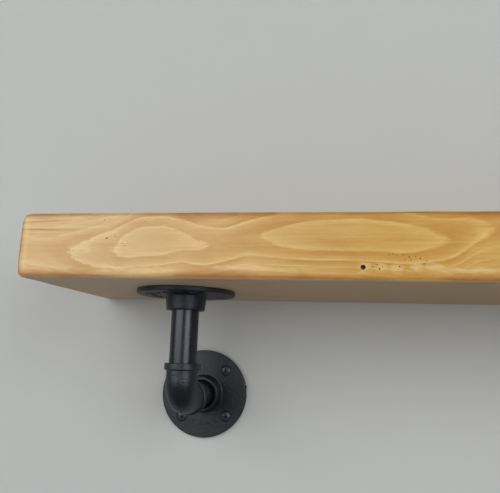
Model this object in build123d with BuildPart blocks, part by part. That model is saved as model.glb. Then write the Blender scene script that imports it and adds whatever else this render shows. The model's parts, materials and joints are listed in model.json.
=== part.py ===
from build123d import *
import os
from math import cos, radians, sin

# Wall shelf: a solid timber board carried by two brackets made of pipe fittings.
# Millimetres. The origin is the centre of the board's back edge, on the wall plane.
# +X runs along the shelf to the right, +Y points into the wall, +Z is up.

# ---- driving dimensions -------------------------------------------------------------------------
BOARD_LENGTH = 600.0
BOARD_DEPTH = 145.0
BOARD_THICKNESS = 45.0
BOARD_EDGE_RADIUS = 3.5

BRACKET_INSET = 100.0       # from the board's end to the bracket's centre line
WALL_TO_UPRIGHT = 75.0      # from the wall plane to the upright pipe's axis
BOARD_TO_ARM = 82.0         # from the board's underside down to the arm pipe's axis

PIPE_RADIUS = 10.4
PIPE_WALL = 2.7
PIPE_END_CHAMFER = 0.8

FLANGE_RADIUS = 37.5
FLANGE_PLATE = 3.6
FLANGE_HEIGHT = 15.0
FLANGE_RIM_RADIUS = 0.8
HUB_BASE_RADIUS = 15.8
HUB_TOP_RADIUS = 14.6
HUB_ROOT_FILLET = 1.2
HUB_TOP_FILLET = 0.7
FLANGE_PASSAGE_RADIUS = 8.0

SCREW_CIRCLE_RADIUS = 27.5
SCREW_COUNT = 4
SCREW_HOLE_RADIUS = 2.3
SINK_MOUTH_RADIUS = 4.8

ELBOW_REACH = 27.0          # from the elbow's centre to each mouth
ELBOW_BEND_RADIUS = 14.2
ELBOW_BODY_RADIUS = 12.0
ELBOW_PASSAGE_RADIUS = 8.0
BEAD_RADIUS = 13.7
BEAD_HEIGHT = 5.2
BEAD_FILLET = 0.9
SEAM_HEIGHT = 0.2           # parting line left by the two halves of the mould
SEAM_WIDTH = 0.5

THREAD_PITCH = 1.814
THREAD_TURNS = 5
THREAD_DEPTH = 0.9
THREAD_TAPER = 1.0 / 32.0   # fall in radius per unit of length
THREAD_CLEARANCE = 0.04
MOUTH_DEPTH = 2.2           # flared entry of every fitting, before its thread starts
MOUTH_RADIUS = 12.6

SCREW_RADIUS = 2.0
SCREW_NECK_RADIUS = 2.2     # under the head, tapering to the shank's radius at the plate's back
SCREW_ROOT_RADIUS = 1.45
SHANK_LENGTH = 4.6          # plain shank between the plate's back and the first thread
SCREW_PITCH = 1.8
SCREW_POINT = 4.0
SCREW_HEAD_RADIUS = 3.9
SCREW_DOME = 1.1
SHELF_SCREW_LENGTH = 30.0
WALL_SCREW_LENGTH = 45.0
RECESS_SPAN = 3.8
RECESS_WIDTH = 0.9
RECESS_DEPTH = 1.7
PILOT_CLEARANCE = 0.03

MARK_RADIUS = 1.5           # plain raised dots, the only casting marks
MARK_HEIGHT = 0.6
MARK_CIRCLE_RADIUS = 25.5
MARK_STEP = 15.0            # degrees between two dots
MARK_COUNT = 4
MARKED_GAPS = (1, 2)        # gaps between screws, counted clockwise from the one with the gate
GATE_RADIUS = 1.5           # trimmed casting gate on the flange's rim
GATE_REACH = 0.9
GATE_OFFSET = 8.5           # degrees from the middle of the gap between two screws

# ---- worked out from them ------------------------------------------------------------------------
UPRIGHT_VISIBLE = BOARD_TO_ARM - ELBOW_REACH - FLANGE_HEIGHT
ARM_VISIBLE = WALL_TO_UPRIGHT - ELBOW_REACH - FLANGE_HEIGHT
BOARD_UNDERSIDE = -BOARD_THICKNESS / 2
ARM_LEVEL = BOARD_UNDERSIDE - BOARD_TO_ARM
BRACKET_OFFSET = BOARD_LENGTH / 2 - BRACKET_INSET
SCREW_STEP = 360.0 / SCREW_COUNT

# Each fitting stops turning where its thread binds, so every flange ends at its own angle.
BRACKETS = {
    "left": {"x": -BRACKET_OFFSET, "shelf_turn": -30.0, "wall_turn": 47.0},
    "right": {"x": BRACKET_OFFSET, "shelf_turn": 22.0, "wall_turn": 38.0},
}


def shelf_flange_plane(x):
    """On the board's underside, looking down."""
    return Plane(origin=(x, -WALL_TO_UPRIGHT, BOARD_UNDERSIDE), x_dir=(1, 0, 0), z_dir=(0, 0, -1))


def wall_flange_plane(x):
    """On the wall, looking out into the room."""
    return Plane(origin=(x, 0, ARM_LEVEL), x_dir=(1, 0, 0), z_dir=(0, -1, 0))


def on_circle(radius, angle):
    return (radius * cos(radians(angle)), radius * sin(radians(angle)))


def screw_planes(base, turn, height=0.0):
    """One plane per screw of a flange, at a height above the face that the flange sits on."""
    planes = []
    for index in range(SCREW_COUNT):
        across, up = on_circle(SCREW_CIRCLE_RADIUS, turn + index * SCREW_STEP)
        origin = base.from_local_coords((across, up, height))
        planes.append(Plane(origin=origin, x_dir=base.x_dir, z_dir=base.z_dir))
    return planes


def half_section(base):
    """The plane through a base plane's axis in which a turned profile is drawn: X out, Y along the axis."""
    return Plane(origin=base.origin, x_dir=base.x_dir, z_dir=-base.y_dir)


def thread_points(crest_radius, start, step, offset=0.0):
    """Zigzag of a tapered thread, from its mouth end inwards, as (radius, height) pairs."""
    points = []
    for turn in range(THREAD_TURNS):
        crest_travel = turn * THREAD_PITCH
        root_travel = crest_travel + THREAD_PITCH / 2
        crest = crest_radius - crest_travel * THREAD_TAPER + offset
        root = crest_radius - root_travel * THREAD_TAPER - THREAD_DEPTH + offset
        points.append((crest, start + step * crest_travel))
        points.append((root, start + step * root_travel))
    end_travel = THREAD_TURNS * THREAD_PITCH
    points.append((crest_radius - end_travel * THREAD_TAPER + offset, start + step * end_travel))
    return points


def socket_space(mouth):
    """The space inside a flared, tapered-thread socket. The plane faces out of the mouth."""
    thread = thread_points(PIPE_RADIUS, -MOUTH_DEPTH, -1, THREAD_CLEARANCE)
    profile = [(0, 0), (MOUTH_RADIUS, 0)] + thread + [(0, thread[-1][1])]
    with BuildPart() as space:
        with BuildSketch(half_section(mouth)):
            with BuildLine():
                Polyline(*profile, close=True)
            make_face()
        revolve(axis=Axis(mouth.origin, mouth.z_dir))
    return space.part


def make_board():
    with BuildPart() as board:
        with Locations((0, -BOARD_DEPTH / 2, 0)):
            Box(BOARD_LENGTH, BOARD_DEPTH, BOARD_THICKNESS)
        fillet(board.edges(), BOARD_EDGE_RADIUS)
        grip = SHELF_SCREW_LENGTH - FLANGE_PLATE
        for side in BRACKETS.values():
            base = shelf_flange_plane(side["x"])
            for hole in screw_planes(base, side["shelf_turn"]):
                with Locations(hole):
                    Hole(SCREW_RADIUS + PILOT_CLEARANCE, depth=grip + PILOT_CLEARANCE)
    return board


def make_flange(base, turn):
    """Cast floor flange standing on its base plane: a plate with countersunk holes and a threaded hub."""
    face = base.offset(FLANGE_PLATE)
    axis = Axis(base.origin, base.z_dir)
    socket = socket_space(base.offset(FLANGE_HEIGHT))
    with BuildPart() as flange:
        with BuildSketch(half_section(base)):
            with BuildLine():
                Polyline(
                    (0, 0),
                    (FLANGE_RADIUS, 0),
                    (FLANGE_RADIUS, FLANGE_PLATE),
                    (HUB_BASE_RADIUS, FLANGE_PLATE),
                    (HUB_TOP_RADIUS, FLANGE_HEIGHT),
                    (0, FLANGE_HEIGHT),
                    close=True,
                )
            make_face()
        revolve(axis=axis)
        rings = flange.edges().filter_by(GeomType.CIRCLE).sort_by(axis)
        rim = rings.filter_by(lambda edge: abs(edge.radius - FLANGE_RADIUS) < 0.01)[-1:]
        hub_root = rings.filter_by(lambda edge: abs(edge.radius - HUB_BASE_RADIUS) < 0.01)
        hub_top = rings.filter_by(lambda edge: abs(edge.radius - HUB_TOP_RADIUS) < 0.01)
        fillet(rim, FLANGE_RIM_RADIUS)
        fillet(hub_root, HUB_ROOT_FILLET)
        fillet(hub_top, HUB_TOP_FILLET)

        gate_angle = turn - SCREW_STEP / 2 + GATE_OFFSET
        gate_place = on_circle(FLANGE_RADIUS + GATE_REACH - GATE_RADIUS, gate_angle)
        with BuildSketch(base.offset(FLANGE_PLATE / 4)):
            with Locations(gate_place):
                Circle(GATE_RADIUS)
        extrude(amount=FLANGE_PLATE / 2)

        for gap in MARKED_GAPS:
            middle = turn - SCREW_STEP / 2 - gap * SCREW_STEP
            for index in range(MARK_COUNT):
                angle = middle + (index - (MARK_COUNT - 1) / 2) * MARK_STEP
                with BuildSketch(face):
                    with Locations(on_circle(MARK_CIRCLE_RADIUS, angle)):
                        Circle(MARK_RADIUS)
                extrude(amount=MARK_HEIGHT, taper=25)

        for hole in screw_planes(base, turn, FLANGE_PLATE):
            with Locations(hole):
                CounterSinkHole(SCREW_HOLE_RADIUS, SINK_MOUTH_RADIUS, counter_sink_angle=90)

        with BuildSketch(base):
            Circle(FLANGE_PASSAGE_RADIUS)
        extrude(amount=FLANGE_HEIGHT, mode=Mode.SUBTRACT)
        add(socket, mode=Mode.SUBTRACT)
    return flange


def make_pipe(mouth, visible_length):
    """Pipe nipple threaded at both ends, between one fitting's mouth plane and the mouth that faces it."""
    near = thread_points(PIPE_RADIUS, -MOUTH_DEPTH, -1)
    far = thread_points(PIPE_RADIUS, visible_length + MOUTH_DEPTH, 1)
    near_end = near[-1][1]
    far_end = far[-1][1]
    bore = PIPE_RADIUS - PIPE_WALL
    outline = [(bore, near_end)] + near[::-1] + far + [(bore, far_end)]
    with BuildPart() as pipe:
        with BuildSketch(half_section(mouth)):
            with BuildLine():
                Polyline(*outline, close=True)
            make_face()
        revolve(axis=Axis(mouth.origin, mouth.z_dir))
        rims = pipe.edges().filter_by(GeomType.CIRCLE)
        inner_rims = rims.filter_by(lambda edge: edge.radius < bore + 0.01)
        chamfer(inner_rims, PIPE_END_CHAMFER)
    return pipe


def make_elbow(x):
    """Cast 90 degree elbow with a bead round each mouth: one mouth faces up, the other faces the wall."""
    centre = Vector(x, -WALL_TO_UPRIGHT, ARM_LEVEL)
    top = Plane(origin=centre + Vector(0, 0, ELBOW_REACH), x_dir=(1, 0, 0), z_dir=(0, 0, 1))
    back = Plane(origin=centre + Vector(0, ELBOW_REACH, 0), x_dir=(1, 0, 0), z_dir=(0, 1, 0))
    sockets = [socket_space(top), socket_space(back)]
    with BuildLine() as run:
        FilletPolyline(top.origin, centre, back.origin, radius=ELBOW_BEND_RADIUS)
    path = run.wires()[0]
    with BuildPart() as seam:
        with BuildSketch(top):
            Circle(ELBOW_BODY_RADIUS + SEAM_HEIGHT)
        sweep(path=path)
        with Locations(centre):
            Box(SEAM_WIDTH, 4 * ELBOW_REACH, 4 * ELBOW_REACH, mode=Mode.INTERSECT)
    with BuildPart() as elbow:
        with BuildSketch(top):
            Circle(ELBOW_BODY_RADIUS)
        sweep(path=path)
        add(seam.part)
        for mouth in (top, back):
            with BuildSketch(mouth):
                Circle(BEAD_RADIUS)
            extrude(amount=-BEAD_HEIGHT)
        beads = elbow.edges().filter_by(GeomType.CIRCLE)
        fillet(beads.filter_by(lambda edge: abs(edge.radius - BEAD_RADIUS) < 0.01), BEAD_FILLET)
        with BuildSketch(top):
            Circle(ELBOW_PASSAGE_RADIUS)
        sweep(path=path, mode=Mode.SUBTRACT)
        add(sockets, mode=Mode.SUBTRACT)
    return elbow


def screw_profile(length):
    """Half section of a raised countersunk wood screw. Height 0 is the countersink's mouth."""
    head_level = SCREW_HEAD_RADIUS - SINK_MOUTH_RADIUS
    neck_level = head_level - (SCREW_HEAD_RADIUS - SCREW_NECK_RADIUS)
    shank_level = -FLANGE_PLATE
    thread_top = shank_level - SHANK_LENGTH
    tip_level = -length
    points = [
        (SCREW_HEAD_RADIUS, head_level),
        (SCREW_NECK_RADIUS, neck_level),
        (SCREW_RADIUS, shank_level),
        (SCREW_RADIUS, thread_top),
    ]
    turns = int((thread_top - tip_level - SCREW_POINT) / SCREW_PITCH)
    for turn in range(turns):
        crest = thread_top - turn * SCREW_PITCH
        points.append((SCREW_ROOT_RADIUS, crest - 0.3 * SCREW_PITCH))
        points.append((SCREW_ROOT_RADIUS, crest - 0.7 * SCREW_PITCH))
        points.append((SCREW_RADIUS, crest - SCREW_PITCH))
    points.append((0, tip_level))
    return points


def make_screws(places, length):
    """Equal screws as separate solids. Each place is the middle of a countersink's mouth."""
    points = screw_profile(length)
    crown_level = points[0][1] + SCREW_DOME
    with BuildPart() as screws:
        for place in places:
            with BuildSketch(half_section(place)):
                with BuildLine():
                    Polyline(*points)
                    Line(points[-1], (0, crown_level))
                    TangentArc((0, crown_level), points[0], tangent=(1, 0))
                make_face()
            revolve(axis=Axis(place.origin, place.z_dir))
            with BuildSketch(place.offset(crown_level)):
                Rectangle(RECESS_SPAN, RECESS_WIDTH)
                Rectangle(RECESS_WIDTH, RECESS_SPAN)
            extrude(amount=-RECESS_DEPTH, taper=12, mode=Mode.SUBTRACT)
    return screws


def save(builder, name):
    builder.part.label = name
    export_step(builder.part, f"parts/{name}.step")


os.makedirs("parts", exist_ok=True)
save(make_board(), "shelf_board")
for side_name, side in BRACKETS.items():
    shelf_base = shelf_flange_plane(side["x"])
    wall_base = wall_flange_plane(side["x"])
    save(make_flange(shelf_base, side["shelf_turn"]), f"{side_name}_shelf_flange")
    save(make_flange(wall_base, side["wall_turn"]), f"{side_name}_wall_flange")
    save(make_pipe(shelf_base.offset(FLANGE_HEIGHT), UPRIGHT_VISIBLE), f"{side_name}_upright_pipe")
    save(make_pipe(wall_base.offset(FLANGE_HEIGHT), ARM_VISIBLE), f"{side_name}_arm_pipe")
    save(make_elbow(side["x"]), f"{side_name}_elbow")

    shelf_mouths = screw_planes(shelf_base, side["shelf_turn"], FLANGE_PLATE)
    wall_mouths = screw_planes(wall_base, side["wall_turn"], FLANGE_PLATE)
    save(make_screws(shelf_mouths, SHELF_SCREW_LENGTH), f"{side_name}_shelf_screws")
    save(make_screws(wall_mouths, WALL_SCREW_LENGTH), f"{side_name}_wall_screws")
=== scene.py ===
import json
import math
import bmesh
import bpy
from mathutils import Matrix, Vector, noise


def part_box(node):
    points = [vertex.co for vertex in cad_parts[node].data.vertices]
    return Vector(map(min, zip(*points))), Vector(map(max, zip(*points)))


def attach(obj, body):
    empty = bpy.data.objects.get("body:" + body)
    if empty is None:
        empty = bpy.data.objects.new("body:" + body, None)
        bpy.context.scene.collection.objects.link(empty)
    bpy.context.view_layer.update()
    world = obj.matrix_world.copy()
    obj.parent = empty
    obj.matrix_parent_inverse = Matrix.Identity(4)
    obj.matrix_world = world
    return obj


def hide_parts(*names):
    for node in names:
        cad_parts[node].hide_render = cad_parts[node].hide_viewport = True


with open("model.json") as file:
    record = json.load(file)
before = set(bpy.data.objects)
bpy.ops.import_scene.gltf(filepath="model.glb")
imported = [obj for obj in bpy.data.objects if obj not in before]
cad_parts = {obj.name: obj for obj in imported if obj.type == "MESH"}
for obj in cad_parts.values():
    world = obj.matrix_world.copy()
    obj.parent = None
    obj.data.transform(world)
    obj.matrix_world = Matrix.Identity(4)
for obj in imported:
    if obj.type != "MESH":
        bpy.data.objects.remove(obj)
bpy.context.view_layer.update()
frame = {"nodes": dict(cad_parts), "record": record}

# Metres in Blender; the sizes below are millimetres, in the row frame, and MM turns them into metres.
MM = 0.001

# ---- camera ------------------------------------------------------------------------------------
CAMERA_PLACE = (-82.9, -482.8, -68.5)
CAMERA_YAW = -7.77              # degrees, turned to the left of +Y
CAMERA_PITCH = 9.24             # degrees, looking up
CAMERA_ROLL = 1.71              # degrees
CAMERA_LENS = 39.22
CAMERA_SENSOR = 36.0
CAMERA_SHIFT = (-0.032, 0.037)  # shares of the picture's width

# ---- board -------------------------------------------------------------------------------------
BOARD_LOW, BOARD_HIGH = [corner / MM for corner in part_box("shelf_board")]
BOARD_EDGE_RADIUS = 3.6
BOARD_EDGE_STEPS = 4            # stations over half of a rounded edge
BOARD_STEP = 2.4                # grid over the flat faces
BOARD_SHARP_ANGLE = 50          # degrees; flatter edges than this are shaded smooth
END_BOW = 0.8                   # the ends are planed slightly round
END_REACH = 12.0                # how far from an end the bow starts
WEAR_REACH = 7.0                # how far from an edge the sanding went
WEAR_DEPTH = 1.1
NICK_DEPTH = 0.9
CORNER_REACH = 9.0              # how far the upright corners are rounded over on top
CORNER_DEPTH = 1.6
WAVE_DEPTH = 0.22               # unevenness of the flat faces
WAVE_LENGTH = 37.0
RIPPLE_LENGTH = 11.0
SANDING_PATCH = (46.0, 30.0, 24.0)
NICK_PATCH = (7.0, 6.0, 6.0)
NICK_LIFT = 9.0                 # in patches; sets the nicks apart from the sanding
PILOT_RADIUS = 2.03             # holes for the screws that hold the brackets
PILOT_DEPTH = 26.43
PILOT_OVERRUN = 2.0             # the cutters start this far below the board

KNOT_PLACE = (-68.3, -13.9)     # on the front face, as (x, z)
KNOT_RADIUS = 1.7
KNOT_DEPTH = 1.9
PIT_ROUGHNESS = 0.16            # of a pit's radius
PIT_SEED = 5                    # without one, noise_vector differs from run to run
# Worm-eaten pin holes beside the knot and in the first figure of the grain, as (x, z, radius).
PIN_HOLES = [
    (-62.6, -13.6, 0.36), (-59.8, -12.2, 0.34), (-58.2, -14.9, 0.52), (-56.4, -13.4, 0.34),
    (-52.5, -6.0, 0.30), (-50.1, -5.6, 0.34), (-47.8, -6.6, 0.30), (-46.2, -13.4, 0.46),
    (-44.0, -5.8, 0.34), (-40.4, -7.4, 0.42), (-39.4, -9.2, 0.36), (-36.6, -7.0, 0.30),
    (-33.8, -8.2, 0.40), (-31.6, -11.6, 0.44), (-29.9, -9.6, 0.34), (-43.1, -8.8, 0.28),
    (-236.4, 4.2, 0.52), (-230.2, 5.4, 0.36), (-239.0, 16.6, 0.34), (-235.4, 17.4, 0.30),
    (-225.6, 0.6, 0.32), (-223.8, -0.8, 0.28), (-210.6, 15.4, 0.30),
]

# ---- grain of the board ------------------------------------------------------------------------
PITH = (30.0, -4.0)             # the tree's centre, as (y, z): behind the board
RING_STEP = 5.2
RING_SHIFT = 20.0               # keeps the ring count positive all through the board
HONEY_SPAN = (-270.0, 10.0)     # the wood turns from pale to honey coloured between these x
FRONT_REACH = 12.0              # how deep behind the front face its marks fade away
FIGURE_DEPTH = 34.0             # how deep the front face's figure reaches into the board
FIGURE_HALF_HEIGHT = 14.2
# How many rings the figure rises above the plain grain, along the board: (x, rings).
FIGURE_RISE = [
    (-300, -0.45), (-283, -0.35), (-268, 0.0), (-249, 0.62), (-232, 1.0), (-206, 1.7), (-192, 1.44),
    (-180, 1.14), (-166, 0.97), (-155, 0.72), (-143, 0.78), (-130, 1.0), (-74, 1.55), (-23, 1.0),
    (9, 0.0), (40, -0.5), (90, -0.15), (150, 1.35), (205, 0.75), (240, -0.1), (300, -0.55),
]
# Height of the figure's middle line along the board: (x, z).
FIGURE_MIDDLE = [
    (-300, 1.0), (-266, -5.0), (-240, -4.0), (-223, -0.8), (-206, 2.6), (-192, 2.8), (-180, 1.4),
    (-166, -1.0), (-156, 0.0), (-130, 6.5), (-74, 8.0), (-23, 4.5), (9, 12.0), (60, 3.0),
    (150, -4.0), (230, 2.0), (300, 0.0),
]

# Cream flames on the front face, as (x, z, half length, half height).
FLAMES = [
    (-272.0, 18.4, 34.0, 2.2), (-254.0, -1.6, 10.0, 4.2), (-214.0, -16.6, 38.0, 2.4),
    (-140.0, -15.0, 30.0, 1.8), (-67.5, -13.9, 4.6, 3.4), (-57.0, -13.6, 4.6, 2.6),
    (-48.5, -14.6, 4.4, 3.0), (-36.0, -14.0, 4.0, 2.6), (-26.0, -13.6, 7.0, 2.6),
    (-4.0, -15.6, 22.0, 2.2),
]
# Where the lines of the first figure are ragged, as (x, reach, how much).
RAGGED_PLACES = [(-256.0, 14.0, 2.4), (-231.0, 7.0, 1.6)]
BLURRED_PLACE = (-237.0, 9.0)   # where they are soft, as (x, reach)
# Thin dark lines that run in from the left end and fade between two x, as (z at the end, slope).
END_LINES = [(14.6, 0.05), (10.2, 0.0)]
END_LINES_FADE = (-286.0, -246.0)
# How much further the scorching reaches in from the long edges: (x, millimetres).
SCORCH_REACH = [
    (-300, 3.0), (-262, 2.2), (-244, 0.0), (-215, -3.0), (-190, 0.0), (-172, 5.0), (-150, 4.5),
    (-128, 0.5), (-80, 0.0), (-30, -1.0), (10, 3.0), (70, 0.0), (160, 3.0), (300, 2.0),
]

METAL_SHARP_ANGLE = 32          # degrees

# ---- stage -------------------------------------------------------------------------------------
FLOOR_LEVEL = -450.0
STAGE_SIZE = 9000.0
WALL_GAP = 0.3                  # the stage's wall stands this far behind the wall plane
LIGHT_AIM = (-200.0, -70.0, -60.0)
SKY_STRENGTH = 0.19


def srgb(red, green, blue):
    """A colour given as display values 0-255, as the linear colour that shaders take."""
    channels = []
    for value in (red, green, blue):
        share = value / 255
        channels.append(share / 12.92 if share < 0.04045 else ((share + 0.055) / 1.055) ** 2.4)
    return (*channels, 1.0)


class Value:
    """A number that varies over a surface. Arithmetic on it adds Math nodes."""

    def __init__(self, graph, socket):
        self.graph = graph
        self.socket = socket

    def __add__(self, other):
        return self.graph.math("ADD", self, other)

    def __radd__(self, other):
        return self.graph.math("ADD", other, self)

    def __sub__(self, other):
        return self.graph.math("SUBTRACT", self, other)

    def __rsub__(self, other):
        return self.graph.math("SUBTRACT", other, self)

    def __mul__(self, other):
        return self.graph.math("MULTIPLY", self, other)

    def __truediv__(self, other):
        return self.graph.math("DIVIDE", self, other)

    def __neg__(self):
        return self.graph.math("MULTIPLY", self, -1.0)


class Graph:
    """Short calls for building the node tree of one material."""

    def __init__(self, name):
        self.material = bpy.data.materials.new(name)
        self.material.use_nodes = True
        self.tree = self.material.node_tree
        self.shader = self.tree.nodes["Principled BSDF"]
        self.output = self.tree.nodes["Material Output"]

    def node(self, kind, **settings):
        node = self.tree.nodes.new("ShaderNode" + kind)
        for name, value in settings.items():
            setattr(node, name, value)
        return node

    def feed(self, socket, value):
        if isinstance(value, Value):
            value = value.socket
        if isinstance(value, bpy.types.NodeSocket):
            self.tree.links.new(value, socket)
        else:
            socket.default_value = value

    def set(self, **inputs):
        """Sets the shader's inputs, named with underscores for spaces."""
        for name, value in inputs.items():
            self.feed(self.shader.inputs[name.replace("_", " ")], value)

    def math(self, operation, *values):
        node = self.node("Math", operation=operation)
        for socket, value in zip(node.inputs, values):
            self.feed(socket, value)
        return Value(self, node.outputs[0])

    def largest(self, *values):
        result = values[0]
        for value in values[1:]:
            result = self.math("MAXIMUM", result, value)
        return result

    def smallest(self, *values):
        result = values[0]
        for value in values[1:]:
            result = self.math("MINIMUM", result, value)
        return result

    def length(self, *values):
        total = values[0] * values[0]
        for value in values[1:]:
            total = total + value * value
        return self.math("SQRT", total)

    def bell(self, value, centre, reach):
        """1 at the centre, falling to 0.37 at the reach."""
        share = (value - centre) / reach
        return self.math("EXPONENT", -(share * share))

    def chance(self, number):
        """A number from 0 to 1 that looks random, and is always the same for one whole number."""
        return self.math("FRACT", self.math("SINE", number * 12.9898) * 43.76)

    def place(self):
        """The surface point's x, y and z in millimetres."""
        coordinates = self.node("TexCoord")
        parts = self.node("SeparateXYZ")
        self.feed(parts.inputs[0], coordinates.outputs["Object"])
        return [Value(self, socket) / MM for socket in parts.outputs]

    def noise(self, place, stretch, detail=2.0, roughness=0.5, seed=0.0):
        """Noise from -0.5 to 0.5; stretch holds the size of its blobs along x, y and z."""
        vector = self.node("CombineXYZ")
        for socket, value, size in zip(vector.inputs, place, stretch):
            self.feed(socket, value / size)
        texture = self.node("TexNoise", noise_dimensions="4D")
        self.feed(texture.inputs["Vector"], vector.outputs[0])
        self.feed(texture.inputs["W"], seed)
        self.feed(texture.inputs["Scale"], 1.0)
        self.feed(texture.inputs["Detail"], detail)
        self.feed(texture.inputs["Roughness"], roughness)
        return Value(self, texture.outputs["Fac"]) - 0.5

    def fade(self, value, start, end, low=0.0, high=1.0):
        """Goes smoothly from low to high as value goes from start to end."""
        node = self.node("MapRange", interpolation_type="SMOOTHSTEP")
        for socket, number in zip(node.inputs, (value, start, end, low, high)):
            self.feed(socket, number)
        return Value(self, node.outputs[0])

    def curve(self, value, points):
        """A curve through the given (value, result) points."""
        xs = [x for x, _ in points]
        ys = [y for _, y in points]
        spread = max(ys) - min(ys)
        node = self.node("FloatCurve")
        track = node.mapping.curves[0]
        for index, (x, y) in enumerate(points):
            spot = ((x - xs[0]) / (xs[-1] - xs[0]), (y - min(ys)) / spread)
            if index in (0, len(points) - 1):
                track.points[0 if index == 0 else -1].location = spot
            else:
                track.points.new(*spot)
        node.mapping.update()
        self.feed(node.inputs["Value"], (value - xs[0]) / (xs[-1] - xs[0]))
        return Value(self, node.outputs[0]) * spread + min(ys)

    def ramp(self, value, stops):
        """Colour along (position, colour) stops."""
        node = self.node("ValToRGB")
        elements = node.color_ramp.elements
        while len(elements) < len(stops):
            elements.new(0.5)
        for element, (position, colour) in zip(elements, stops):
            element.position = position
            element.color = colour
        self.feed(node.inputs[0], value)
        return node.outputs[0]

    def mix(self, share, first, second):
        """Goes from the first colour to the second as share goes from 0 to 1."""
        node = self.node("Mix", data_type="RGBA")
        first_socket, second_socket = [socket for socket in node.inputs if socket.type == "RGBA"]
        result, = [socket for socket in node.outputs if socket.type == "RGBA"]
        self.feed(node.inputs["Factor"], share)
        self.feed(first_socket, first)
        self.feed(second_socket, second)
        return result

    def bump(self, height, depth):
        """Relief whose height of 1 stands depth millimetres proud."""
        node = self.node("Bump")
        self.feed(node.inputs["Distance"], depth * MM)
        self.feed(node.inputs["Height"], height)
        self.feed(self.shader.inputs["Normal"], node.outputs[0])


# ---- materials ---------------------------------------------------------------------------------
PALE_WOOD = srgb(243, 214, 160)
TAN_WOOD = srgb(209, 160, 98)
PALE_HONEY = srgb(236, 196, 112)
DEEP_HONEY = srgb(198, 142, 48)
SCORCHED = srgb(172, 101, 28)
SCORCH_LINE = srgb(86, 46, 20)
CREAM_WOOD_AND_HIGHLIGHT = srgb(248, 222, 162)
UNDERSIDE_SHADE_GREY = srgb(176, 161, 146)
KNOT_HEART = srgb(52, 20, 12)
KNOT_RED = srgb(104, 48, 26)
DEEP_BLACK = srgb(15, 17, 22)
SOFT_BLACK = srgb(30, 33, 40)
RUBBED_AND_SHEEN_GREY = srgb(112, 118, 126)
COAT_SHINE = srgb(238, 246, 255)
WALL_GREY = srgb(205, 207, 205)
FLOOR_GREY = srgb(216, 216, 214)
DIM_GREY = srgb(158, 159, 160)
DARK_GREY = srgb(30, 31, 33)
PALE_DUST = srgb(224, 225, 226)
SKY_GREY = srgb(196, 200, 206)


def edge_distance(graph, place):
    """Distance along the surface from the board's nearest edge, in millimetres."""
    inside = []
    for value, low, high in zip(place, BOARD_LOW, BOARD_HIGH):
        inside.append(graph.smallest(value - low, high - value))
    across, deep, up = inside
    lower = graph.smallest(across, deep)
    upper = graph.largest(across, deep)
    return graph.largest(lower, graph.smallest(upper, up))


def growth_rings(graph, place):
    """Ring count from outside inwards. Its whole part numbers the ring and its fraction crosses it."""
    x, y, z = place
    front = BOARD_LOW[1]
    radius = graph.length(y - PITH[0], z - PITH[1])
    slow = graph.noise(place, (170, 46, 46), detail=1.0, seed=1.3)
    small = graph.noise(place, (26, 8, 8), detail=3.0, seed=4.1)
    feather = graph.noise(place, (5.5, 1.7, 1.7), detail=3.0, roughness=0.6, seed=7.7)
    ragged = 1.0
    for centre, reach, extra in RAGGED_PLACES:
        ragged = ragged + graph.bell(x, centre, reach) * extra
    plain = (PITH[0] - front - radius) / RING_STEP
    across = (z - graph.curve(x, FIGURE_MIDDLE)) / FIGURE_HALF_HEIGHT
    figure = graph.curve(x, FIGURE_RISE) - across * across
    weight = graph.bell(y, front, FIGURE_DEPTH)
    return plain + figure * weight + slow * 1.1 + small * 0.3 + feather * ragged * 0.17


def ring_shading(graph, place, honey):
    """How dark (late) and how pale (crest) each point of a year's ring is, and its place in the ring.

    A ring starts pale at its outer line and darkens inwards to the next line. Some years are faint,
    and towards the right, where the wood is honey coloured, the lines are softer.
    """
    x = place[0]
    rings = growth_rings(graph, place)
    counted = rings + RING_SHIFT
    phase = graph.math("FRACT", counted)
    year = graph.chance(graph.math("FLOOR", counted))
    softness = 0.035 + honey * 0.13 + graph.bell(x, *BLURRED_PLACE) * 0.3
    faint = graph.fade(graph.noise(place, (40, 12, 12), detail=2.0, seed=21.0), -0.12, 0.12)
    clear = graph.fade(rings, -1.2, -0.2, 0.45, 1.0) * (0.5 + year * 0.5)
    clear = clear * (1.1 - faint * (0.3 + honey * 0.5))
    turn = graph.fade(phase, 1.0 - softness, 1.0)
    late = graph.fade(phase, 0.0, 0.9) * (1.0 - turn) * clear
    crest = graph.largest(graph.fade(phase, 0.0, 0.3, 1.0, 0.0), turn) * clear
    return late, crest, phase


def near_front(graph, place):
    """1 on the front face, falling off behind it."""
    return graph.bell(place[1], BOARD_LOW[1], FRONT_REACH)


def add_flames(graph, place, tone):
    """Cream flames round the knot, along the bottom and in the top left of the front face."""
    x, y, z = place
    flicker = graph.noise((x + z * 1.5, y, z), (5.0, 1.5, 1.5), detail=3.0, seed=9.0)
    flames = 0.0
    for flame_x, flame_z, reach, height in FLAMES:
        off = graph.length((x - flame_x) / reach, (z - flame_z) / height)
        flames = graph.largest(flames, graph.fade(off + flicker * 2.4, 0.0, 1.4, 1.0, 0.0))
    return graph.mix(flames * near_front(graph, place) * 0.46, tone, CREAM_WOOD_AND_HIGHLIGHT)


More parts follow.
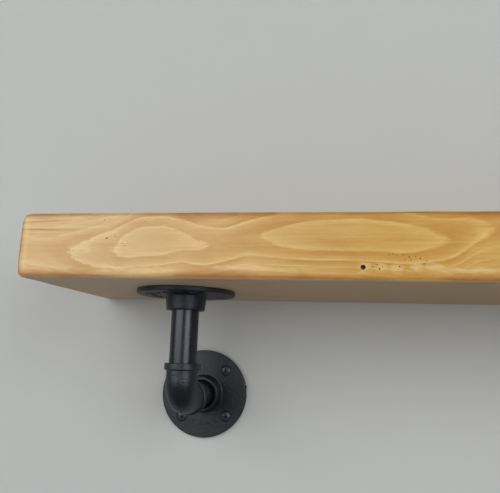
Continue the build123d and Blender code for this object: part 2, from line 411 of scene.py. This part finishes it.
def scorch_edges(graph, place, tone):
    """A thin dark line on every edge, soft patches beside it and a painted highlight along the front's
    rounded ends.
    """
    x, y, z = place
    edge = edge_distance(graph, place)
    from_end = BOARD_HIGH[0] - graph.math("ABSOLUTE", x)
    # Painted highlight: a pale cream band just inside each end of the front face, where the rounded
    # edge catches the light.
    painted_end_highlight = graph.bell(from_end, 5.6, 2.0) * near_front(graph, place)
    tone = graph.mix(painted_end_highlight * 0.36, tone, CREAM_WOOD_AND_HIGHLIGHT)
    patches = graph.noise(place, (34, 9, 9), detail=3.0, seed=3.0)
    fine = graph.noise(place, (9, 2, 2), detail=3.0, seed=6.0)
    burnt = edge - graph.curve(x, SCORCH_REACH) * graph.fade(graph.math("ABSOLUTE", z), 12.0, 20.0)
    scorch = graph.fade(burnt + patches * 11.0 + fine * 4.0, -2.0, 6.5, 1.0, 0.0)
    tone = graph.mix(scorch * 0.62, tone, SCORCHED)
    thin = graph.fade(edge + fine * 1.2 + patches * 1.8, 0.2, 1.9, 1.0, 0.0)
    return graph.mix(thin * 0.76, tone, SCORCH_LINE)


def make_timber():
    """Oiled pine: growth rings, fibres and flecks, flames, scorched edges and an underside greyed with
    painted shade and painted reflection.
    """
    graph = Graph("honey_pine")
    place = graph.place()
    x, y, z = place
    honey = graph.fade(x, *HONEY_SPAN)
    light_tone = graph.mix(honey, PALE_WOOD, PALE_HONEY)
    dark_tone = graph.mix(honey, TAN_WOOD, DEEP_HONEY)
    late, crest, phase = ring_shading(graph, place, honey)
    blotch = graph.noise(place, (52, 15, 15), detail=3.0, seed=11.0)
    depth = (0.34 + honey * 0.26) + late * (0.52 - honey * 0.16) - crest * (0.3 + honey * 0.2)
    tone = graph.mix(depth + blotch * 0.8, light_tone, dark_tone)

    # Fibres and short flecks run along the board, with dark resin ducts among them.
    fibre = graph.noise(place, (24, 0.5, 0.5), detail=3.0, roughness=0.65, seed=2.0)
    streak = graph.noise(place, (70, 1.9, 1.9), detail=3.0, roughness=0.6, seed=5.0)
    fleck = graph.noise(place, (8.0, 0.9, 0.9), detail=2.0, seed=17.0)
    duct = graph.noise(place, (3.2, 0.36, 0.36), detail=1.0, seed=14.0)
    tone = graph.mix(graph.fade(fibre, -0.08, 0.3) * 0.36, tone, DEEP_HONEY)
    tone = graph.mix(graph.fade(streak, 0.0, 0.26) * (0.4 + honey * 0.3), tone, dark_tone)
    tone = graph.mix(graph.fade(-streak, 0.04, 0.26) * 0.4, tone, light_tone)
    tone = graph.mix(graph.fade(fleck, 0.02, 0.24) * (0.2 + honey * 0.3), tone, dark_tone)
    tone = graph.mix(graph.fade(-fleck, 0.08, 0.28) * 0.3, tone, light_tone)
    tone = graph.mix(graph.fade(duct, 0.18, 0.32) * 0.34, tone, SCORCHED)

    tone = add_flames(graph, place, tone)
    run_in = graph.fade(x, *END_LINES_FADE, 1.0, 0.0)
    for level, slope in END_LINES:
        line = graph.bell(z - (x - BOARD_LOW[0]) * slope + blotch * 3.0, level, 0.6)
        tone = graph.mix(line * run_in * 0.6, tone, SCORCHED)
    tone = scorch_edges(graph, place, tone)

    # Painted shade and painted reflection: the underside is mixed towards grey to stand in for its
    # shadow and its glancing reflection of the grey wall.
    painted_underside_shade = graph.fade(z, BOARD_LOW[2] + 0.3, BOARD_LOW[2] + 1.6, 1.0, 0.0)
    tone = graph.mix(painted_underside_shade * (0.55 + fibre * 0.4 + streak * 0.9), tone, UNDERSIDE_SHADE_GREY)

    graph.set(Base_Color=tone, Coat_Weight=0.16, Coat_Roughness=0.28, Specular_IOR_Level=0.35)
    graph.set(Roughness=graph.fade(phase + fibre, 0.0, 1.0, 0.5, 0.4))
    graph.bump(late * 0.5 + fibre * 0.8, 0.05)
    return graph.material


def make_knot_heart():
    """The dark red-brown wood inside the knot and the pin holes."""
    graph = Graph("knot_heart")
    place = graph.place()
    grain = graph.noise(place, (0.9, 0.5, 0.9), detail=3.0, seed=8.0)
    graph.set(Base_Color=graph.ramp(grain + 0.5, [(0.3, KNOT_HEART), (0.8, KNOT_RED)]))
    graph.set(Roughness=0.62)
    graph.bump(grain, 0.12)
    return graph.material


def make_black_coat(name, speckle, speckle_size, gloss, rubbed_and_sheen=0.12):
    """Bluish black coating, worn to grey in spots. A large grey share, as on the screws, lightens most
    of the surface and is then painted highlight as well as wear. Speckle is the metal's relief, in
    millimetres.
    """
    graph = Graph(name)
    place = graph.place()
    fine = graph.noise(place, (speckle_size,) * 3, detail=3.0, roughness=0.6, seed=1.0)
    broad = graph.noise(place, (7.0, 7.0, 7.0), detail=2.0, seed=2.0)
    dust = graph.noise(place, (0.7, 0.7, 0.7), detail=2.0, seed=3.0)
    tone = graph.ramp(fine + broad * 0.6 + 0.5, [(0.25, DEEP_BLACK), (0.8, SOFT_BLACK)])
    grey = graph.fade(dust, 0.16 - rubbed_and_sheen, 0.3) * rubbed_and_sheen
    tone = graph.mix(grey, tone, RUBBED_AND_SHEEN_GREY)
    graph.set(Base_Color=tone, Specular_IOR_Level=0.9, Specular_Tint=COAT_SHINE)
    graph.set(Roughness=gloss + broad * 0.12 + fine * 0.1)
    graph.bump(fine + broad * 0.5, speckle)
    return graph.material


def make_stage_paint(name, colour):
    """Plain matt paint on the front of a sheet, which is see-through from behind."""
    graph = Graph(name)
    place = graph.place()
    mottle = graph.noise(place, (60.0, 60.0, 60.0), detail=3.0, seed=1.0)
    graph.set(Base_Color=graph.mix(mottle * 0.1 + 0.05, colour, PALE_DUST))
    graph.set(Roughness=0.85, Specular_IOR_Level=0.2)
    facing = graph.node("NewGeometry")
    clear = graph.node("BsdfTransparent")
    either = graph.node("MixShader")
    graph.feed(either.inputs[0], facing.outputs["Backfacing"])
    graph.feed(either.inputs[1], graph.shader.outputs[0])
    graph.feed(either.inputs[2], clear.outputs[0])
    graph.feed(graph.output.inputs["Surface"], either.outputs[0])
    return graph.material


# ---- board -------------------------------------------------------------------------------------
def edge_stations(low, high):
    """Places along one side of the board: close together over the rounded edges, even between them."""
    rounding = []
    for step in range(BOARD_EDGE_STEPS + 1):
        turn = math.radians(45) * (1 - step / BOARD_EDGE_STEPS)
        rounding.append(BOARD_EDGE_RADIUS * (1 - math.tan(turn)))
    flat = high - low - 2 * BOARD_EDGE_RADIUS
    count = round(flat / BOARD_STEP)
    between = [BOARD_EDGE_RADIUS + flat * index / count for index in range(1, count)]
    stations = rounding + between + [high - low - place for place in reversed(rounding)]
    return [low + place for place in stations]


def patchy(point, size, lift=0.0):
    """Noise from about -1 to 1 in patches of the given size, read lift patches higher up."""
    across, deep, up = [place / length for place, length in zip(point, size)]
    return noise.noise(Vector((across, deep, up + lift)))


def worn_depth(point):
    """How much sanding, unevenness and small nicks take off at a point of the square-edged board."""
    inside = sorted(
        min(point[axis] - BOARD_LOW[axis], BOARD_HIGH[axis] - point[axis]) for axis in range(3))
    near_edge = max(0.0, 1 - inside[1] / WEAR_REACH)
    sanding = 0.5 + 0.5 * patchy(point, SANDING_PATCH)
    wave = 0.5 + 0.35 * noise.noise(point / WAVE_LENGTH) + 0.15 * noise.noise(point / RIPPLE_LENGTH)
    nick = max(0.0, patchy(point, NICK_PATCH, NICK_LIFT) - 0.25)
    return WAVE_DEPTH * wave + near_edge ** 2 * (WEAR_DEPTH * sanding + NICK_DEPTH * nick)


def worn_point(point):
    """Moves a point of the square-edged board onto the rounded, sanded, slightly uneven one."""
    core = Vector()
    for axis in range(3):
        low = BOARD_LOW[axis] + BOARD_EDGE_RADIUS
        high = BOARD_HIGH[axis] - BOARD_EDGE_RADIUS
        core[axis] = min(max(point[axis], low), high)
    outward = (point - core).normalized()
    moved = core + outward * (BOARD_EDGE_RADIUS - worn_depth(point))
    half_height = BOARD_HIGH[2]
    from_end = BOARD_HIGH[0] - abs(moved.x)
    bow = END_BOW * max(0.0, 1 - from_end / END_REACH) * (moved.z / half_height) ** 2
    moved.x -= math.copysign(bow, moved.x)
    corner = max(0.0, 1 - (from_end + half_height - moved.z) / CORNER_REACH)
    rounding = CORNER_DEPTH * corner ** 1.5
    moved.x -= math.copysign(rounding, moved.x)
    moved.z -= rounding
    return moved


def side_squares(last, axis, end):
    """The four grid corners of every square on one side of the board."""
    first, second = [other for other in range(3) if other != axis]
    for i in range(last[first]):
        for j in range(last[second]):
            square = []
            for across, along in ((0, 0), (1, 0), (1, 1), (0, 1)):
                index = [0, 0, 0]
                index[axis] = end
                index[first] = i + across
                index[second] = j + along
                square.append(tuple(index))
            yield square


def board_surface():
    """The board's outer skin as one closed grid."""
    stations = [edge_stations(BOARD_LOW[axis], BOARD_HIGH[axis]) for axis in range(3)]
    last = [len(places) - 1 for places in stations]
    shape = bmesh.new()
    corners = {}

    def corner(index):
        if index not in corners:
            point = Vector(stations[axis][index[axis]] for axis in range(3))
            corners[index] = shape.verts.new(worn_point(point) * MM)
        return corners[index]

    for axis in range(3):
        for end in (0, last[axis]):
            for square in side_squares(last, axis, end):
                shape.faces.new([corner(index) for index in square])
    bmesh.ops.recalc_face_normals(shape, faces=shape.faces)
    mesh = bpy.data.meshes.new("timber_board")
    shape.to_mesh(mesh)
    shape.free()
    return mesh


def add_pit(shape, place, radius, depth):
    """A rough-sided pit cut into the front face, lined with the board's second material."""
    front = BOARD_LOW[1]
    fitted = Matrix.Translation(Vector((place[0], front, place[1])) * MM)
    size = Vector((radius, depth, radius * 0.92)) * MM
    scale = Matrix.Diagonal((*size, 1.0))
    made = bmesh.ops.create_icosphere(shape, subdivisions=2, radius=1.0, matrix=fitted @ scale)
    for vert in made["verts"]:
        vert.co += PIT_ROUGHNESS * radius * MM * noise.noise_vector(vert.co / MM * 1.7)
        for face in vert.link_faces:
            face.material_index = 1


def add_pilot(shape, underside, place):
    """A drilled hole for one of the screws that hold a bracket to the board."""
    centre = Vector((place.x, place.y, underside + (PILOT_DEPTH - PILOT_OVERRUN) / 2))
    fitted = Matrix.Translation(centre * MM)
    bmesh.ops.create_cone(
        shape, cap_ends=True, segments=24, radius1=PILOT_RADIUS * MM, radius2=PILOT_RADIUS * MM,
        depth=(PILOT_DEPTH + PILOT_OVERRUN) * MM, matrix=fitted,
    )


def screw_axes(node_name):
    """The centre of each screw in a node of screws that all point up."""
    mesh = frame["nodes"][node_name].data
    shape = bmesh.new()
    shape.from_mesh(mesh)
    bmesh.ops.remove_doubles(shape, verts=shape.verts, dist=0.01 * MM)
    tip_level = max(vert.co.z for vert in shape.verts)
    tips = [vert.co / MM for vert in shape.verts if vert.co.z > tip_level - 0.02 * MM]
    shape.free()
    return tips


def make_cutters(timber, heart):
    """Everything that is cut out of the board: its knot, its pin holes and its drilled holes."""
    noise.seed_set(PIT_SEED)
    shape = bmesh.new()
    add_pit(shape, KNOT_PLACE, KNOT_RADIUS, KNOT_DEPTH)
    for x, z, radius in PIN_HOLES:
        add_pit(shape, (x, z), radius, radius * 1.6 + 0.35)
    for side in ("left", "right"):
        for tip in screw_axes(f"{side}_shelf_screws"):
            add_pilot(shape, BOARD_LOW[2], tip)
    mesh = bpy.data.meshes.new("board_cutters")
    shape.to_mesh(mesh)
    shape.free()
    mesh.materials.append(timber)
    mesh.materials.append(heart)
    cutters = bpy.data.objects.new("board_cutters", mesh)
    bpy.context.collection.objects.link(cutters)
    return cutters


def make_board(timber, heart):
    mesh = board_surface()
    mesh.materials.append(timber)
    mesh.materials.append(heart)
    board = bpy.data.objects.new("timber_board", mesh)
    bpy.context.collection.objects.link(board)
    cutters = make_cutters(timber, heart)
    cut = board.modifiers.new("cut", "BOOLEAN")
    cut.operation = "DIFFERENCE"
    cut.solver = "EXACT"
    cut.object = cutters
    bpy.context.view_layer.update()
    evaluated = board.evaluated_get(bpy.context.evaluated_depsgraph_get())
    finished = bpy.data.meshes.new_from_object(evaluated)
    board.modifiers.clear()
    board.data = finished
    bpy.data.objects.remove(cutters)
    finished.shade_smooth()
    finished.set_sharp_from_angle(angle=math.radians(BOARD_SHARP_ANGLE))
    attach(board, "root")
    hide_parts("shelf_board")
    return board


# ---- metal -------------------------------------------------------------------------------------
def finish_metal(casting, pipe, screw):
    """Gives every bracket node its coating and smooth curved faces."""
    coats = {"black_casting": casting, "black_pipe": pipe, "black_screw": screw}
    slots = {part["node"]: part["material_slot"] for part in frame["record"]["subparts"]}
    for name, node in frame["nodes"].items():
        if slots[name] not in coats:
            continue
        node.data.materials.clear()
        node.data.materials.append(coats[slots[name]])
        node.data.shade_smooth()
        node.data.set_sharp_from_angle(angle=math.radians(METAL_SHARP_ANGLE))


# ---- stage -------------------------------------------------------------------------------------
def make_sheet(name, centre, across, up, material):
    """A plain square of the stage, spanned by two directions."""
    mesh = bpy.data.meshes.new(name)
    centre, across, up = Vector(centre), Vector(across), Vector(up)
    corners = [centre - across - up, centre + across - up, centre + across + up, centre - across + up]
    mesh.from_pydata([corner * MM for corner in corners], [], [(0, 1, 2, 3)])
    mesh.materials.append(material)
    sheet = bpy.data.objects.new(name, mesh)
    bpy.context.collection.objects.link(sheet)
    return sheet


def show_only_in_reflections(sheet):
    sheet.visible_camera = False
    sheet.visible_diffuse = False
    sheet.visible_shadow = False


def make_stage():
    """A pale wall and floor. Reflections see darker twins of them, which keeps the fittings black."""
    half = STAGE_SIZE / 2
    wall_span = ((half, 0, 0), (0, 0, half / 2))
    floor_span = ((half, 0, 0), (0, half, 0))
    wall_middle = FLOOR_LEVEL + half / 2

    wall_paint = make_stage_paint("wall_paint", WALL_GREY)
    wall = make_sheet("wall", (0, WALL_GAP, wall_middle), *wall_span, wall_paint)
    wall.visible_shadow = False
    wall.visible_diffuse = False
    wall.visible_glossy = False
    floor_paint = make_stage_paint("floor_paint", FLOOR_GREY)
    floor = make_sheet("floor", (0, 0, FLOOR_LEVEL), *floor_span, floor_paint)
    floor.visible_glossy = False

    dim_paint = make_stage_paint("dim_wall_paint", DIM_GREY)
    show_only_in_reflections(
        make_sheet("dim_wall", (0, WALL_GAP + 1, wall_middle), *wall_span, dim_paint))
    dark_paint = make_stage_paint("dark_floor_paint", DARK_GREY)
    show_only_in_reflections(
        make_sheet("dark_floor", (0, 0, FLOOR_LEVEL + 1), *floor_span, dark_paint))


def add_softbox(name, azimuth, elevation, distance, width, height, power, colour):
    """A soft light aimed at the brackets. Azimuth 0 stands in front, 90 on the right."""
    turn, rise = math.radians(azimuth), math.radians(elevation)
    away = Vector((math.sin(turn) * math.cos(rise), -math.cos(turn) * math.cos(rise), math.sin(rise)))
    data = bpy.data.lights.new(name, "AREA")
    data.shape = "RECTANGLE"
    data.size = width * MM
    data.size_y = height * MM
    data.energy = power
    data.color = colour
    light = bpy.data.objects.new(name, data)
    light.location = (Vector(LIGHT_AIM) + away * distance) * MM
    light.rotation_euler = (-away).to_track_quat("-Z", "Y").to_euler()
    bpy.context.collection.objects.link(light)


def make_lights():
    add_softbox(
        "key", azimuth=-34, elevation=18, distance=1500, width=1650, height=1080, power=11.7,
        colour=(1.0, 0.99, 0.975),
    )
    add_softbox(
        "fill", azimuth=40, elevation=15, distance=1500, width=1000, height=1000, power=8.6,
        colour=(0.96, 0.98, 1.0),
    )
    add_softbox(
        "back", azimuth=165, elevation=40, distance=1900, width=1500, height=1500, power=7.0,
        colour=(1.0, 1.0, 1.0),
    )
    world = bpy.data.worlds.new("studio")
    world.use_nodes = True
    background = world.node_tree.nodes["Background"]
    background.inputs["Color"].default_value = SKY_GREY
    background.inputs["Strength"].default_value = SKY_STRENGTH
    bpy.context.scene.world = world
    bpy.context.scene.view_settings.view_transform = "Standard"


def make_camera():
    yaw, pitch, roll = [math.radians(angle) for angle in (CAMERA_YAW, CAMERA_PITCH, CAMERA_ROLL)]
    ahead = Vector((math.sin(yaw) * math.cos(pitch), math.cos(yaw) * math.cos(pitch), math.sin(pitch)))
    level = Vector((math.cos(yaw), -math.sin(yaw), 0.0))
    upright = level.cross(ahead)
    right = level * math.cos(roll) + upright * math.sin(roll)
    up = upright * math.cos(roll) - level * math.sin(roll)
    data = bpy.data.cameras.new("camera")
    data.lens = CAMERA_LENS
    data.sensor_width = CAMERA_SENSOR
    data.shift_x, data.shift_y = CAMERA_SHIFT
    data.clip_start = 0.01
    camera = bpy.data.objects.new("camera", data)
    camera.matrix_world = Matrix.Translation(Vector(CAMERA_PLACE) * MM) @ Matrix(
        (right, up, -ahead)).transposed().to_4x4()
    bpy.context.collection.objects.link(camera)
    bpy.context.scene.camera = camera


make_camera()
make_lights()
make_stage()
make_board(make_timber(), make_knot_heart())
finish_metal(
    casting=make_black_coat("black_casting_coat", speckle=0.36, speckle_size=1.3, gloss=0.34),
    pipe=make_black_coat("black_pipe_coat", speckle=0.005, speckle_size=2.2, gloss=0.29),
    # The screws' larger grey share is partly wear and partly painted highlight that lightens their
    # heads.
    screw=make_black_coat("black_screw_coat", speckle=0.04, speckle_size=0.7, gloss=0.42, rubbed_and_sheen=0.4),
)
